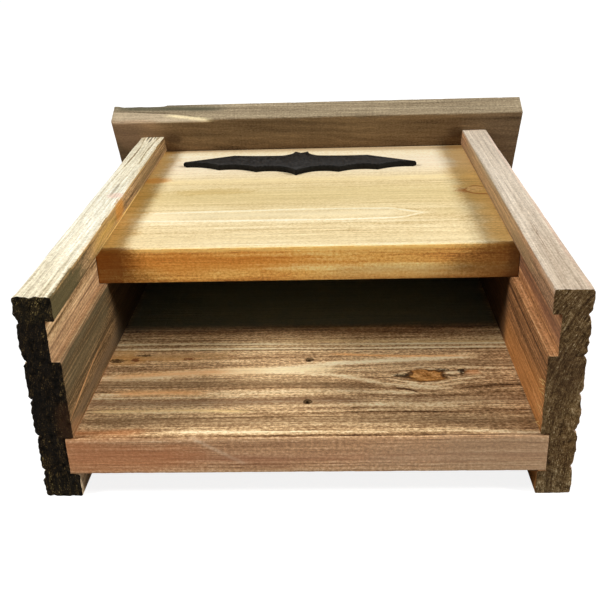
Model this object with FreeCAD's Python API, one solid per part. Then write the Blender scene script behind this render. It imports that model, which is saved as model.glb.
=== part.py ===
import FreeCAD
import Part
import math
import os

# A timber bat box: one roosting chamber, open at its lower end, between a back and a front panel
# that stand in housings of two ribbed side boards, under a sloping roof board.
# It lies on its back: +X to the right, +Y from the open end towards the roof, +Z away from the wall.
# Lengths are millimetres. Heights over the wall face are Z, distances from the open end are Y.

# Side boards
outer_width = 354.8
side_thickness = 24.4
side_depth = 149.0
side_front_length = 402.0
side_corner_radius = 2.5

# Ribs of the outer faces: V-grooves with rounded shoulders, all along the board, and between them
# a face that swells a little
first_groove_height = 21.2
groove_pitch = 27.6
groove_depth = 2.2
groove_half_width = 4.2
rib_crown = 0.5

# Housings in the inner faces, and the boards that stand in them
housing_depth = 6.0
rear_foot = 18.0
front_lip = 16.6
panel_thickness = 28.0
housing_play = 0.6
panel_end_gap = 0.2
wide_board = 285.0
panel_edge_radius = 1.0

# Roof
roof_slope = math.radians(26.0)
roof_thickness = 25.0
roof_board_width = 184.0
roof_front_overhang = 21.5
roof_length = 415.0
roof_off_centre = 3.5
roof_edge_radius = 1.2
roof_gap = 0.2

# Holes in the back for the wall screws
wall_hole_radius = 3.2
wall_hole_off_centre = 1.0
first_wall_hole = 45.0
wall_hole_spacing = 61.5

# Bat silhouette on the front panel, a little off the centre line and turned
plaque_span = 230.0
plaque_height = 64.2
plaque_thickness = 5.7
plaque_off_centre = -12.4
plaque_below_roof = 70.0
plaque_turn = -3.2

# Nails and pins
nail_radius = 1.4
nail_head_radius = 3.0
nail_head_thickness = 1.2
nail_point = 4.0
side_nail_length = 50.0
roof_nail_length = 65.0
nail_play = 0.05
nail_edge_distance = 30.0
nail_roof_distance = 45.0
roof_nail_edge_distance = 27.0
roof_nail_back_inset = 5.0
roof_nail_back_spread = 100.0
pin_radius = 0.6
pin_head_radius = 1.1
pin_head_thickness = 0.6
pin_point = 1.5
pin_length = 16.0
pin_spread = 46.0
pin_above_wing_line = 6.0

# Worked out from the sizes above
half_width = outer_width / 2
inner_face = half_width - side_thickness
housing_face = inner_face + housing_depth
housing_width = panel_thickness + housing_play
back_low = rear_foot
back_high = back_low + panel_thickness
front_low = side_depth - front_lip - housing_width
front_high = front_low + panel_thickness
panel_half_length = housing_face - panel_end_gap
roof_normal = FreeCAD.Vector(0, math.cos(roof_slope), math.sin(roof_slope))
roof_fall = FreeCAD.Vector(0, -math.sin(roof_slope), math.cos(roof_slope))
side_rear_length = side_front_length + side_depth * math.tan(roof_slope)
roof_rear_offset = roof_front_overhang - roof_board_width


def under_roof(height):
    """Distance of the roof's underside from the open end, at a height over the wall face."""
    return side_front_length + (side_depth - height) * math.tan(roof_slope)


def roof_point(forward, up, x=0.0):
    """A point of the roof: forward of the sides' front edges along the slope, up through the board."""
    corner = FreeCAD.Vector(x, side_front_length, side_depth)
    return corner + roof_fall * forward + roof_normal * up


overall_length = roof_point(roof_rear_offset, roof_thickness).y
front_panel_low = under_roof(front_high) - roof_gap - wide_board


def place(shape):
    """Moves a finished piece into the frame: origin under the middle of the whole box."""
    moved = shape.copy()
    moved.translate(FreeCAD.Vector(-roof_off_centre, -overall_length / 2, 0))
    return moved


def save(node, solids):
    placed = [place(solid) for solid in solids]
    shape = placed[0] if len(placed) == 1 else Part.makeCompound(placed)
    shape.exportStep(os.path.join("parts", node + ".step"))
    print(node, len(placed), "solid(s)", round(sum(solid.Volume for solid in placed)), "mm3")


def polygon_face(points):
    return Part.Face(Part.makePolygon(points + points[:1]))


def box_between(low, high):
    size = high - low
    return Part.makeBox(size.x, size.y, size.z, low)


def round_edges(shape, radius, wanted):
    edges = [edge for edge in shape.Edges if wanted(edge)]
    return shape.makeFillet(radius, edges) if edges else shape


def runs_across(edge):
    start = edge.Vertexes[0].Point
    end = edge.Vertexes[-1].Point
    return abs(end.y - start.y) < 0.01 and abs(end.z - start.z) < 0.01


def above_roof_underside():
    """Everything that lies over the plane of the roof's underside."""
    reach = overall_length + side_depth
    corners = [
        roof_point(-reach, 0, -outer_width),
        roof_point(reach, 0, -outer_width),
        roof_point(reach, reach, -outer_width),
        roof_point(-reach, reach, -outer_width),
    ]
    return polygon_face(corners).extrude(FreeCAD.Vector(2 * outer_width, 0, 0))


# Nails

def nail(head, direction, length, radius, head_radius, head_thickness, point):
    """A flat-headed nail whose head is flush with the face that the point `head` lies on."""
    shank_end = head + direction * (length - point)
    parts = [
        Part.makeCylinder(head_radius, head_thickness, head, direction),
        Part.makeCylinder(radius, length - point, head, direction),
        Part.makeCone(radius, 0, point, shank_end, direction),
    ]
    return parts[0].multiFuse(parts[1:]).removeSplitter()


def nail_hole(head, direction, length, radius, head_radius, head_thickness):
    """The hole that the nail makes: its own size and a little play."""
    shank = Part.makeCylinder(radius + nail_play, length + nail_play, head, direction)
    seat = Part.makeCylinder(head_radius + nail_play, head_thickness, head, direction)
    return shank.fuse(seat)


def timber_nail(spot, length):
    head, direction = spot
    return nail(head, direction, length, nail_radius, nail_head_radius, nail_head_thickness, nail_point)


def timber_nail_hole(spot, length):
    head, direction = spot
    return nail_hole(head, direction, length, nail_radius, nail_head_radius, nail_head_thickness)


def panel_pin(spot):
    head, direction = spot
    return nail(head, direction, pin_length, pin_radius, pin_head_radius, pin_head_thickness, pin_point)


def panel_pin_hole(spot):
    head, direction = spot
    return nail_hole(head, direction, pin_length, pin_radius, pin_head_radius, pin_head_thickness)


def side_nail_spots(side, distances, height):
    """Nails through one side board (-1 left, +1 right) into the end of a panel."""
    inward = FreeCAD.Vector(-side, 0, 0)
    return [(FreeCAD.Vector(side * half_width, distance, height), inward) for distance in distances]


def back_nail_distances():
    lower = [nail_edge_distance, wide_board / 2, wide_board - nail_edge_distance]
    upper = [wide_board + nail_edge_distance, under_roof(back_high) - nail_roof_distance]
    return lower + upper


def front_nail_distances():
    low = front_panel_low + nail_edge_distance
    high = front_panel_low + wide_board - nail_roof_distance
    return [low, (low + high) / 2, high]


def roof_nail_spot(x, height):
    """A nail square to the roof, that passes the underside at a height over the wall face."""
    forward = (height - side_depth) / math.cos(roof_slope)
    return (roof_point(forward, roof_thickness, x), roof_normal * -1)


def roof_side_nail_spots(side):
    x = side * (half_width - side_thickness / 2)
    low = roof_nail_edge_distance + nail_head_radius
    high = side_depth - roof_nail_edge_distance
    return [roof_nail_spot(x, height) for height in (low, (low + high) / 2, high)]


def roof_back_nail_spots():
    height = back_high - roof_nail_back_inset
    return [roof_nail_spot(x, height) for x in (-roof_nail_back_spread, 0.0, roof_nail_back_spread)]


back_nails = {side: side_nail_spots(side, back_nail_distances(), (back_low + back_high) / 2) for side in (-1, 1)}
front_nails = {side: side_nail_spots(side, front_nail_distances(), (front_low + front_high) / 2) for side in (-1, 1)}
roof_side_nails = {side: roof_side_nail_spots(side) for side in (-1, 1)}
roof_back_nails = roof_back_nail_spots()
side_nail_holes = [
    timber_nail_hole(spot, side_nail_length) for side in (-1, 1) for spot in back_nails[side] + front_nails[side]
]
roof_nail_holes = [
    timber_nail_hole(spot, roof_nail_length)
    for spot in roof_side_nails[-1] + roof_side_nails[1] + roof_back_nails
]


# Side boards

def line(start, end):
    return Part.LineSegment(start, end).toShape()


def arc(start, middle, end):
    return Part.Arc(start, middle, end).toShape()


def side_profile():
    """Cross-section of the right side board, in the plane of its lower end."""
    def at(x, z):
        return FreeCAD.Vector(x, 0, z)

    rib_edge = half_width - rib_crown
    inner = [
        at(rib_edge - side_corner_radius, 0),
        at(inner_face, 0),
        at(inner_face, back_low),
        at(housing_face, back_low),
        at(housing_face, back_low + housing_width),
        at(inner_face, back_low + housing_width),
        at(inner_face, front_low),
        at(housing_face, front_low),
        at(housing_face, front_low + housing_width),
        at(inner_face, front_low + housing_width),
        at(inner_face, side_depth),
        at(rib_edge - side_corner_radius, side_depth),
    ]
    edges = [line(start, end) for start, end in zip(inner, inner[1:])]
    diagonal = side_corner_radius * (1 - math.sqrt(0.5))
    top = at(rib_edge, side_depth - side_corner_radius)
    edges.append(arc(inner[-1], at(rib_edge - diagonal, side_depth - diagonal), top))

    shoulder_radius = (groove_depth ** 2 + groove_half_width ** 2) / (2 * groove_depth)
    half_turn = math.asin(groove_half_width / shoulder_radius) / 2
    shoulder_in = shoulder_radius * (1 - math.cos(half_turn))
    shoulder_along = groove_half_width - shoulder_radius * math.sin(half_turn)
    count = int((side_depth - side_corner_radius - groove_half_width - first_groove_height) / groove_pitch) + 1

    def rib(high, low):
        return arc(high, at(half_width, (high.z + low.z) / 2), low)

    last = top
    for number in reversed(range(count)):
        height = first_groove_height + number * groove_pitch
        bottom = at(rib_edge - groove_depth, height)
        above = at(rib_edge, height + groove_half_width)
        below = at(rib_edge, height - groove_half_width)
        edges.append(rib(last, above))
        edges.append(arc(above, at(rib_edge - shoulder_in, height + shoulder_along), bottom))
        edges.append(arc(bottom, at(rib_edge - shoulder_in, height - shoulder_along), below))
        last = below
    foot = at(rib_edge, side_corner_radius)
    edges.append(rib(last, foot))
    edges.append(arc(foot, at(rib_edge - diagonal, diagonal), inner[0]))
    return Part.Face(Part.Wire(edges))


def side_board(side):
    board = side_profile().extrude(FreeCAD.Vector(0, side_rear_length, 0))
    if side < 0:
        board = board.mirror(FreeCAD.Vector(0, 0, 0), FreeCAD.Vector(1, 0, 0))
    board = board.cut(above_roof_underside())
    return board.cut(side_nail_holes + roof_nail_holes)


# Panels between the sides

def back_lower_board():
    board = box_between(
        FreeCAD.Vector(-panel_half_length, 0, back_low),
        FreeCAD.Vector(panel_half_length, wide_board, back_high),
    )
    board = round_edges(
        board, panel_edge_radius, lambda edge: runs_across(edge) and edge.CenterOfMass.y < panel_edge_radius
    )
    holes = [
        Part.makeCylinder(
            wall_hole_radius,
            panel_thickness,
            FreeCAD.Vector(wall_hole_off_centre, first_wall_hole + number * wall_hole_spacing, back_low),
        )
        for number in range(2)
    ]
    return board.cut(holes + side_nail_holes)


def back_upper_board():
    board = box_between(
        FreeCAD.Vector(-panel_half_length, wide_board, back_low),
        FreeCAD.Vector(panel_half_length, side_rear_length, back_high),
    )
    return board.cut([above_roof_underside()] + side_nail_holes + roof_nail_holes)


def front_panel():
    board = box_between(
        FreeCAD.Vector(-panel_half_length, front_panel_low, front_low),
        FreeCAD.Vector(panel_half_length, front_panel_low + wide_board, front_high),
    )
    board = round_edges(board, panel_edge_radius, runs_across)
    return board.cut(side_nail_holes + [panel_pin_hole(spot) for spot in plaque_pin_spots()])


def roof_board():
    left = roof_off_centre - roof_length / 2
    section = polygon_face([
        roof_point(roof_front_overhang, 0, left),
        roof_point(roof_rear_offset, 0, left),
        roof_point(roof_rear_offset, roof_thickness, left),
        roof_point(roof_front_overhang, roof_thickness, left),
    ])
    board = section.extrude(FreeCAD.Vector(roof_length, 0, 0))
    board = round_edges(board, roof_edge_radius, runs_across)
    return board.cut(roof_nail_holes)


# Bat silhouette: one wing, from the notch between the ears round to the tail.
# Each row is where a stretch ends, as shares of the half span and of the height, and its bulge
# to the outside as a share of its own length. The wing line is at 0.
wing_outline = [
    (0.045, 0.545, 0.00),
    (0.060, 0.550, 0.20),
    (0.118, 0.365, -0.14),
    (0.175, 0.320, -0.10),
    (0.572, 0.341, -0.025),
    (0.975, 0.020, 0.00),
    (0.978, -0.015, 0.45),
    (0.665, -0.170, -0.106),
    (0.343, -0.283, -0.133),
    (0.000, -0.458, -0.194),
]
ear_notch = (0.0, 0.480)


def plaque_placement():
    wing_line = front_panel_low + wide_board - plaque_below_roof
    return FreeCAD.Placement(
        FreeCAD.Vector(plaque_off_centre, wing_line, front_high),
        FreeCAD.Rotation(FreeCAD.Vector(0, 0, 1), plaque_turn),
    )


def wing_edges(side):
    """Edges of one half of the outline, from the ear notch to the tail."""
    edges = []
    start = FreeCAD.Vector(0, ear_notch[1] * plaque_height, 0)
    for across, along, bulge in wing_outline:
        end = FreeCAD.Vector(side * across * plaque_span / 2, along * plaque_height, 0)
        if bulge:
            run = end - start
            outward = FreeCAD.Vector(-run.y, run.x, 0) * side
            edges.append(arc(start, (start + end) * 0.5 + outward * bulge, end))
        else:
            edges.append(line(start, end))
        start = end
    return edges


def plaque_pin_spots():
    placement = plaque_placement()
    into_panel = FreeCAD.Vector(0, 0, -1)
    return [
        (placement.multVec(FreeCAD.Vector(side * pin_spread, pin_above_wing_line, plaque_thickness)), into_panel)
        for side in (-1, 1)
    ]


def bat_plaque():
    outline = Part.Wire(Part.__sortEdges__(wing_edges(1) + wing_edges(-1)))
    plaque = Part.Face(outline).extrude(FreeCAD.Vector(0, 0, plaque_thickness))
    plaque.Placement = plaque_placement()
    return plaque.cut([panel_pin_hole(spot) for spot in plaque_pin_spots()])


os.makedirs("parts", exist_ok=True)
save("left_side_board", [side_board(-1)])
save("right_side_board", [side_board(1)])
save("back_lower_board", [back_lower_board()])
save("back_upper_board", [back_upper_board()])
save("front_panel", [front_panel()])
save("roof_board", [roof_board()])
save("bat_plaque", [bat_plaque()])
save("plaque_pins", [panel_pin(spot) for spot in plaque_pin_spots()])
for side, name in ((-1, "left"), (1, "right")):
    save("side_nails_back_" + name, [timber_nail(spot, side_nail_length) for spot in back_nails[side]])
    save("side_nails_front_" + name, [timber_nail(spot, side_nail_length) for spot in front_nails[side]])
    save("roof_nails_" + name, [timber_nail(spot, roof_nail_length) for spot in roof_side_nails[side]])
save("roof_nails_back", [timber_nail(spot, roof_nail_length) for spot in roof_back_nails])
print("overall", round(roof_length, 1), round(overall_length, 1),
      round(roof_point(roof_front_overhang, roof_thickness).z, 1), "mm")
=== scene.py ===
import bpy
import bmesh
import math
import numpy as np
from mathutils import Matrix, Vector


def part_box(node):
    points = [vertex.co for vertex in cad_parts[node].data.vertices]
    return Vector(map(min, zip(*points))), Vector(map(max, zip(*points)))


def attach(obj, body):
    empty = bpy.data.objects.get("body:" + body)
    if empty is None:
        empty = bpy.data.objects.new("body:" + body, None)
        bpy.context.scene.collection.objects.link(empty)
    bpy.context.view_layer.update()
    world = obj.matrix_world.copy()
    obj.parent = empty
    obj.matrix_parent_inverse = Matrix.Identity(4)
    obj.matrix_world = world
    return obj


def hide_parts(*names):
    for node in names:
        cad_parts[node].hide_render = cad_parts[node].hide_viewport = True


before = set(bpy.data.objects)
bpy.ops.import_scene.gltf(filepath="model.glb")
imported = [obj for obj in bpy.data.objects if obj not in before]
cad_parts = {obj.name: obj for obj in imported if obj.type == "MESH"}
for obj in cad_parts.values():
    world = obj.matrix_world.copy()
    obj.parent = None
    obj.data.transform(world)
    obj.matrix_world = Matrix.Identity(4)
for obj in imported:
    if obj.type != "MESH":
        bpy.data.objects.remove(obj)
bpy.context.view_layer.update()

mm = 0.001
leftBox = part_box("left_side_board")
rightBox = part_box("right_side_board")
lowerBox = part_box("back_lower_board")
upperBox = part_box("back_upper_board")
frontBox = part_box("front_panel")
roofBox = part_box("roof_board")
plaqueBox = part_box("bat_plaque")

openEnd = leftBox[0].y            # where every distance along the box starts
middle = (leftBox[0].x + rightBox[1].x) / 2
sideDepth = leftBox[1].z
roofSlope = math.radians(26)


# A new object of the scene
def addObject(name, data):
    made = bpy.data.objects.new(name, data)
    bpy.context.scene.collection.objects.link(made)
    return made


# Camera, where the photograph was taken from

viewpoint = {
    "place": (18.64 * mm, -726.95 * mm, 362.89 * mm),
    "turn": -2.462, "down": 24.629, "roll": -1.893,   # degrees
    "lens": 51.64, "sensor": 36,
}


def makeCamera():
    camera = addObject("photoCamera", bpy.data.cameras.new("photoCamera"))
    turn, down, roll = (math.radians(viewpoint[key]) for key in ("turn", "down", "roll"))
    ahead = Vector((math.sin(turn) * math.cos(down), math.cos(turn) * math.cos(down), -math.sin(down)))
    right = Vector((math.cos(turn), -math.sin(turn), 0))
    up = right.cross(ahead)
    rolledRight = right * math.cos(roll) + up * math.sin(roll)
    rolledUp = up * math.cos(roll) - right * math.sin(roll)
    axes = Matrix((rolledRight, rolledUp, -ahead)).transposed()
    camera.matrix_world = Matrix.Translation(viewpoint["place"]) @ axes.to_4x4()
    camera.data.lens = viewpoint["lens"]
    camera.data.sensor_width = viewpoint["sensor"]
    camera.data.clip_start = 0.01
    bpy.context.scene.camera = camera


makeCamera()
bpy.context.scene.view_settings.view_transform = "Standard"
print("camera set")


# Shader maths: a socket that adds, multiplies and compares

class Value:
    def __init__(self, shader, socket):
        self.shader = shader
        self.socket = socket

    def maths(self, operation, *others, clamp=False):
        inputs = dict(enumerate((self,) + others))
        return self.shader.node("Math", {"operation": operation, "use_clamp": clamp}, inputs)

    def __add__(self, other):
        return self.maths("ADD", other)

    def __sub__(self, other):
        return self.maths("SUBTRACT", other)

    def __rsub__(self, other):
        return self.shader.node("Math", {"operation": "SUBTRACT"}, {0: other, 1: self})

    def __mul__(self, other):
        return self.maths("MULTIPLY", other)

    def __truediv__(self, other):
        return self.maths("DIVIDE", other)

    __radd__ = __add__
    __rmul__ = __mul__

    def clamped(self):
        return self.maths("ADD", 0.0, clamp=True)

    def most(self, other):
        return self.maths("MAXIMUM", other)

    # 0 at low and 1 at high, smooth between, also where low is the larger
    def rise(self, low, high):
        settings = {"interpolation_type": "SMOOTHSTEP"}
        return self.shader.node("MapRange", settings, {"Value": self, "From Min": low, "From Max": high})

    # 1 at a place, falling to nothing past its half width
    def bell(self, place, half):
        off = (self - place) * (1 / half)
        return (off * off * -1.0).maths("EXPONENT")


class Shader:
    def __init__(self, owner):
        owner.use_nodes = True
        self.owner = owner
        self.tree = owner.node_tree
        self.surface = self.tree.nodes.get("Principled BSDF")

    def node(self, kind, settings=None, inputs=None, output=0):
        made = self.tree.nodes.new("ShaderNode" + kind)
        for key, setting in (settings or {}).items():
            if key == "stops":
                self.fillRamp(made.color_ramp, setting)
            elif key == "route":
                self.fillCurve(made.mapping, setting)
            else:
                setattr(made, key, setting)
        for key, given in (inputs or {}).items():
            self.feed(made.inputs[key], given)
        return Value(self, made.outputs[output])

    def fillRamp(self, ramp, stops):
        while len(ramp.elements) < len(stops):
            ramp.elements.new(1.0)
        for element, (place, colour) in zip(ramp.elements, stops):
            element.position = place
            element.color = (*colour, 1)

    def fillCurve(self, mapping, route):
        points = mapping.curves[0].points
        while len(points) < len(route):
            points.new(0.5, 0.5)
        for point, place in zip(points, route):
            point.location = place
            point.handle_type = "AUTO_CLAMPED"
        mapping.extend = "HORIZONTAL"
        mapping.update()

    def feed(self, socket, given):
        if isinstance(given, Value):
            self.tree.links.new(given.socket, socket)
        elif hasattr(given, "__len__") and socket.type == "RGBA":
            socket.default_value = (*given, 1)
        else:
            socket.default_value = given

    def parts(self, vector):
        split = self.node("SeparateXYZ", inputs={0: vector})
        return [Value(self, socket) for socket in split.socket.node.outputs]

    def vector(self, x, y, z):
        return self.node("CombineXYZ", inputs={0: x, 1: y, 2: z})

    # a random height around nothing
    def noise(self, at, detail=2.0, roughness=0.5):
        inputs = {"Vector": at, "Scale": 1.0, "Detail": detail, "Roughness": roughness}
        return self.node("TexNoise", {}, inputs) - 0.5

    def ramp(self, place, colours):
        return self.node("ValToRGB", {"stops": list(zip(tonePlaces, colours))}, {0: place})

    def mix(self, share, low, high, blend="MIX"):
        settings = {"data_type": "RGBA", "blend_type": blend}
        return self.node("Mix", settings, {0: share, 6: low, 7: high}, output=2)

    def bump(self, height, distance):
        return self.node("Bump", {}, {"Height": height, "Distance": distance})

    def finish(self, colour, roughness, normal, shine):
        self.feed(self.surface.inputs["Base Color"], colour)
        self.feed(self.surface.inputs["Roughness"], roughness)
        self.feed(self.surface.inputs["Normal"], normal)
        self.surface.inputs["Specular IOR Level"].default_value = shine


# Five colours make a palette: nearly black, dark, plain, light and nearly white, at these tones
tonePlaces = (0.08, 0.3, 0.5, 0.7, 0.94)


# A colour as it is read off a screen, 0 to 255, as the linear colour that Blender wants
def tint(red, green, blue):
    shares = (red / 255, green / 255, blue / 255)
    return tuple(((c + 0.055) / 1.055) ** 2.4 if c > 0.04 else c / 12.92 for c in shares)


def palette(*colours):
    return [tint(*colour) for colour in colours]


# Points in millimetres as lengths along and across a board. With its box they start at the middle line of
# the bat box and at its open end, else at the board's own corner.
def onBoard(box, *points):
    if box is None:
        return [(x * mm, y * mm) for x, y in points]
    return [((middle + x * mm) - box[0].x, (openEnd + y * mm) - box[0].y) for x, y in points]


# A line or wash on a board, in millimetres: half its width, its points, then how it looks
def mark(half, *points, box=None, **rest):
    for key in {"soft", "ragged", "frayed"} & set(rest):
        rest[key] *= mm
    if "tint" in rest:
        rest["tint"] = tint(*rest["tint"])
    return {**rest, "route": onBoard(box, *points), "half": half * mm}


# A stain or a patch of painted shade, in millimetres: its place and its reach along, across and deep, its
# colour and how much it covers
def spot(at, reach, colour, share, box=None, **rest):
    place = (*onBoard(box, at[:2])[0], at[2] * mm)
    reach = [length * mm for length in reach]
    return {"at": place, "reach": reach, "tint": tint(*colour), "share": share, **rest}


# Timber. The mesh says where each point lies in its board, in metres: along the grain, across it and
# through its depth. It also says what each face is: "zones" holds end grain, a shift of tone and the share
# of the board's second palette, and "hollow" how deep a point is torn out. All paces are per metre.

curveSpan = 0.5      # metres, the length that a mark's curve covers
ringLayers = {       # pace along the board, pace across the rings, pace about the pith, roughness
    "broad": (2.2, 60.0, 0.5, 0.5),
    "medium": (4.0, 230.0, 1.0, 0.6),
    "fine": (9.0, 700.0, 2.0, 0.7),
}
boardLayers = {      # pace along the board, pace across it, which of the two the seed moves, then the
                     # noise's detail and roughness
    "ripple": (24.0, 55.0, (1, 0), 2.0, 0.5),
    "wobble": (130.0, 160.0, (0, 1), 3.0, 0.6),
    "patch": (22.0, 160.0, (1, 0), 2.0, 0.6),
    "cloud": (7.0, 26.0, (1, 0), 3.0, 0.6),
    "grit": (420.0, 620.0, (0, 0), 3.0, 0.7),
    "fibre": (60.0, 1500.0, (0, 0), 2.0, 0.6),
}
sawPaces = (620.0, 22.0)      # along the board and across it
endPaces = {                  # of a sawn end: short strokes and rings run along its flow
    "crumbs": {"along": 200.0, "across": 760.0, "depth": 900.0},
    "strokes": {"flow": 1800.0, "across": 190.0, "along": 100.0},
    "rings": {"flow": 420.0, "across": 18.0, "along": 20.0},
    "flecks": {"across": 500.0, "flow": 1300.0, "along": 200.0},
}
reliefShares = {"fibre": 0.8, "fine": 0.9, "medium": 0.6, "grit": 0.6}      # how far each raises the wood
knotParts = {                 # where a knot's parts lie, in knot sizes from its middle
    "rim": (0.98, 0.16), "inside": (1.05, 0.85), "heart": (0.5, 0.15), "ringPace": 21.0, "ringTone": 0.2,
    "wobble": 0.9, "ripple": 0.5,
}
spotEdge = (1.2, 0.5)        # in spot sizes from its middle, where a stain or a patch of painted shade begins and is full


class Timber(Shader):
    def __init__(self, name, look):
        super().__init__(bpy.data.materials.new(name))
        self.look = look
        self.line = self.parts(self.held("grain", "Vector"))
        self.hollow = self.held("hollow", "Fac")
        drift = self.layer(1 / look["waveLength"], 7.0, (1, 0), 1.0, 0.5) * look["wave"]
        made = {name: self.layer(*paces) for name, paces in boardLayers.items()}
        self.ripple, self.wobble, self.patch = made["ripple"], made["wobble"], made["patch"]
        self.cloud, self.grit, self.fibre = made["cloud"], made["grit"], made["fibre"]
        self.lift, self.core, self.dark = drift, 0.0, 0.0

    def layer(self, run, pace, moved, detail, roughness):
        along, across, depth = self.line
        seed = self.look["seed"]
        at = self.vector(along * run + seed * moved[0], across * pace + seed * moved[1], depth * pace)
        return self.noise(at, detail, roughness)

    def held(self, name, output):
        return self.node("Attribute", {"attribute_name": name}, output=output)

    # knots push the rings outwards and part the grain; gives the places that the rings see
    def seeKnots(self):
        along, across, depth = self.line
        for knot in self.look.get("knots", ()):
            gapAlong = (along - knot["at"][0]) * (1 / knot["size"][0])
            gapSide = (across - knot["at"][1]) * (1 / knot["size"][1])
            reach = (gapAlong * gapAlong + gapSide * gapSide).maths("SQRT")
            near = (reach * reach * (-1 / knot["spread"] ** 2)).maths("EXPONENT")
            self.lift = self.lift + near * (knot["size"][1] * knot["push"])
            across = across - (across - knot["at"][1]) * near * knot["part"]
            ragged = reach + self.wobble * knotParts["wobble"] + self.ripple * knotParts["ripple"]
            rings = (ragged * knotParts["ringPace"]).maths("SINE") * 0.5 + 0.5
            inside = ragged.rise(*knotParts["inside"])
            dark = ragged.bell(*knotParts["rim"]) * knot["rim"] + inside * rings * knotParts["ringTone"]
            dark = dark + ragged.rise(*knotParts["heart"]) * knot["heart"]
            self.core = inside + self.core
            self.dark = dark + self.dark
        return across

    # lines and washes at their own places: where each one lies, from 0 to 1
    def seeMarks(self):
        along, across, depth = self.line
        found = []
        for mark in self.look.get("marks", ()):
            place, aside = (depth, across) if mark.get("onDepth") else (across, depth)
            route = [(x / curveSpan, y / curveSpan) for x, y in mark["route"]]
            centre = self.node("FloatCurve", {"route": route}, {"Value": along / curveSpan}) * curveSpan
            off = place - centre + self.ripple * mark.get("ragged", 1.2 * mm)
            off = off + self.wobble * mark.get("frayed", 1 * mm)
            half, soft = mark["half"], mark.get("soft", 12 * mm)
            mask = off.rise(half, -half) if mark.get("below") else off.bell(0.0, half)
            first, last = mark["route"][0][0], mark["route"][-1][0]
            mask = mask * along.rise(first - soft, first + soft) * along.rise(last + soft, last - soft)
            if "face" in mark:
                low, high = mark["face"]
                mask = mask * aside.rise(low - mm, low) * aside.rise(high + mm, high)
            found.append((mark, (mask * (1 + self.patch * mark.get("patchy", 2.0))).clamped()))
        return found

    # lays stains and patches of painted shade over a colour
    def stainAndShade(self, colour, stainsAndShades):
        for stainAndShade in stainsAndShades:
            places = zip(self.line, stainAndShade["at"], stainAndShade["reach"])
            gaps = [(line - at) * (1 / reach) for line, at, reach in places]
            square = gaps[0] * gaps[0] + gaps[1] * gaps[1] + gaps[2] * gaps[2]
            edge = square.maths("SQRT") + self.wobble * stainAndShade.get("ragged", 0.4)
            edge = edge + self.grit * stainAndShade.get("broken", 0.5)
            edge = edge + (self.ripple + self.cloud) * 0.8
            share = edge.rise(*spotEdge) * stainAndShade["share"]
            colour = self.mix(share, colour, stainAndShade["tint"], stainAndShade.get("blend", "MIX"))
        return colour

    def dress(self):
        look = self.look
        along, across, depth = self.line
        endFace, zoneTone, otherShare = self.parts(self.held("zones", "Vector"))
        seed, strength = look["seed"], look["strength"]
        seenAcross = self.seeKnots()
        pithAcross, pithDepth = look["pith"]
        gapAcross = seenAcross - pithAcross
        gapDepth = depth - pithDepth + along * look["taper"]
        radius = (gapAcross * gapAcross + gapDepth * gapDepth).maths("SQRT") + self.lift
        radius = radius + self.ripple * look["ripple"]
        turned = (depth - seenAcross) * 9.0

        phase = radius / look["ringWidth"]
        ring = phase.maths("FRACT")
        uneven = self.node("TexWhiteNoise", {"noise_dimensions": "1D"}, {"W": phase.maths("FLOOR")})
        late = ring.rise(0.3, 0.9) * ring.rise(1.0, 0.95) * (0.3 + uneven)

        # streaks that follow the rings, from broad to fine, then fibres, saw marks and grit
        layers = {}
        for name, (run, ringPace, about, roughness) in ringLayers.items():
            at = self.vector(along * run + seed, radius * ringPace, turned * about)
            layers[name] = self.noise(at, 2.0, roughness)
        run, pace = sawPaces
        sawAt = self.vector(along * run + self.ripple * 3.0, across * pace, depth * pace)
        layers |= {"fibre": self.fibre, "saw": self.noise(sawAt, 1.0)}
        layers |= {"grit": self.grit, "cloud": self.cloud}
        tone = 0.5 + zoneTone - late * strength["late"] - self.dark
        for name, layer in layers.items():
            tone = tone + layer * (2 * strength[name])
        marks = self.seeMarks()
        for mark, mask in marks:
            if "tone" in mark:
                tone = tone + mask * mark["tone"]

        colour = self.ramp(tone, look["tones"])
        if "otherTones" in look:
            colour = self.mix(otherShare, colour, self.ramp(tone, look["otherTones"]))
        for mark, mask in marks:
            if "tint" in mark:
                colour = self.mix(mask * mark["share"], colour, mark["tint"], mark.get("blend", "MIX"))
        colour = self.stainAndShade(colour, look.get("stainsAndShades", ()))
        if look.get("knots"):
            coreTone = (0.6 - self.dark * 0.5 + layers["fine"] * 0.9 + self.grit * 0.9).clamped()
            colour = self.mix(self.core.clamped() * 0.8, colour, self.ramp(coreTone, look["knotTones"]))
        shade = 1 + (layers["fine"] + self.grit + layers["fibre"] * 0.6) * look["shade"]
        # torn-out hollows darker: painted shade in the recesses
        shade = shade * (1 - self.hollow * 0.6)
        colour = self.mix(1.0, colour, self.vector(shade, shade, shade), "MULTIPLY")

        # the sawn end: crumbs, short strokes on the slant and a few pale specks
        end = look["end"]
        flow = depth - across * across * across * end.get("bend", 0.0)
        ways = {"along": along, "across": across, "depth": depth, "flow": flow}

        def endNoise(name, moved, detail, roughness=0.5):
            paces = endPaces[name]
            at = [ways[way] * pace + (seed if way == moved else 0) for way, pace in paces.items()]
            return self.noise(self.vector(*at), detail, roughness)

        crumbs = endNoise("crumbs", "along", 3.0, 0.85)
        strokes = endNoise("strokes", "flow", 3.0, 0.75)
        rings = endNoise("rings", "across", 1.0)
        flecks = endNoise("flecks", "along", 1.0)
        endTone = 0.5 + crumbs * end["crumbs"] + strokes * end["strokes"]
        # the end's torn hollows darker: painted shade in the recesses
        endTone = endTone + flecks.rise(0.12, 0.3) * end["specks"] - self.hollow * end["hollow"]
        endTone = endTone + rings * end.get("rings", 0.3) + self.cloud * end.get("patches", 0.5)
        endColour = self.stainAndShade(self.ramp(endTone, end["tones"]), end.get("stainsAndShades", ()))
        colour = self.mix(endFace, colour, endColour)

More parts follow.
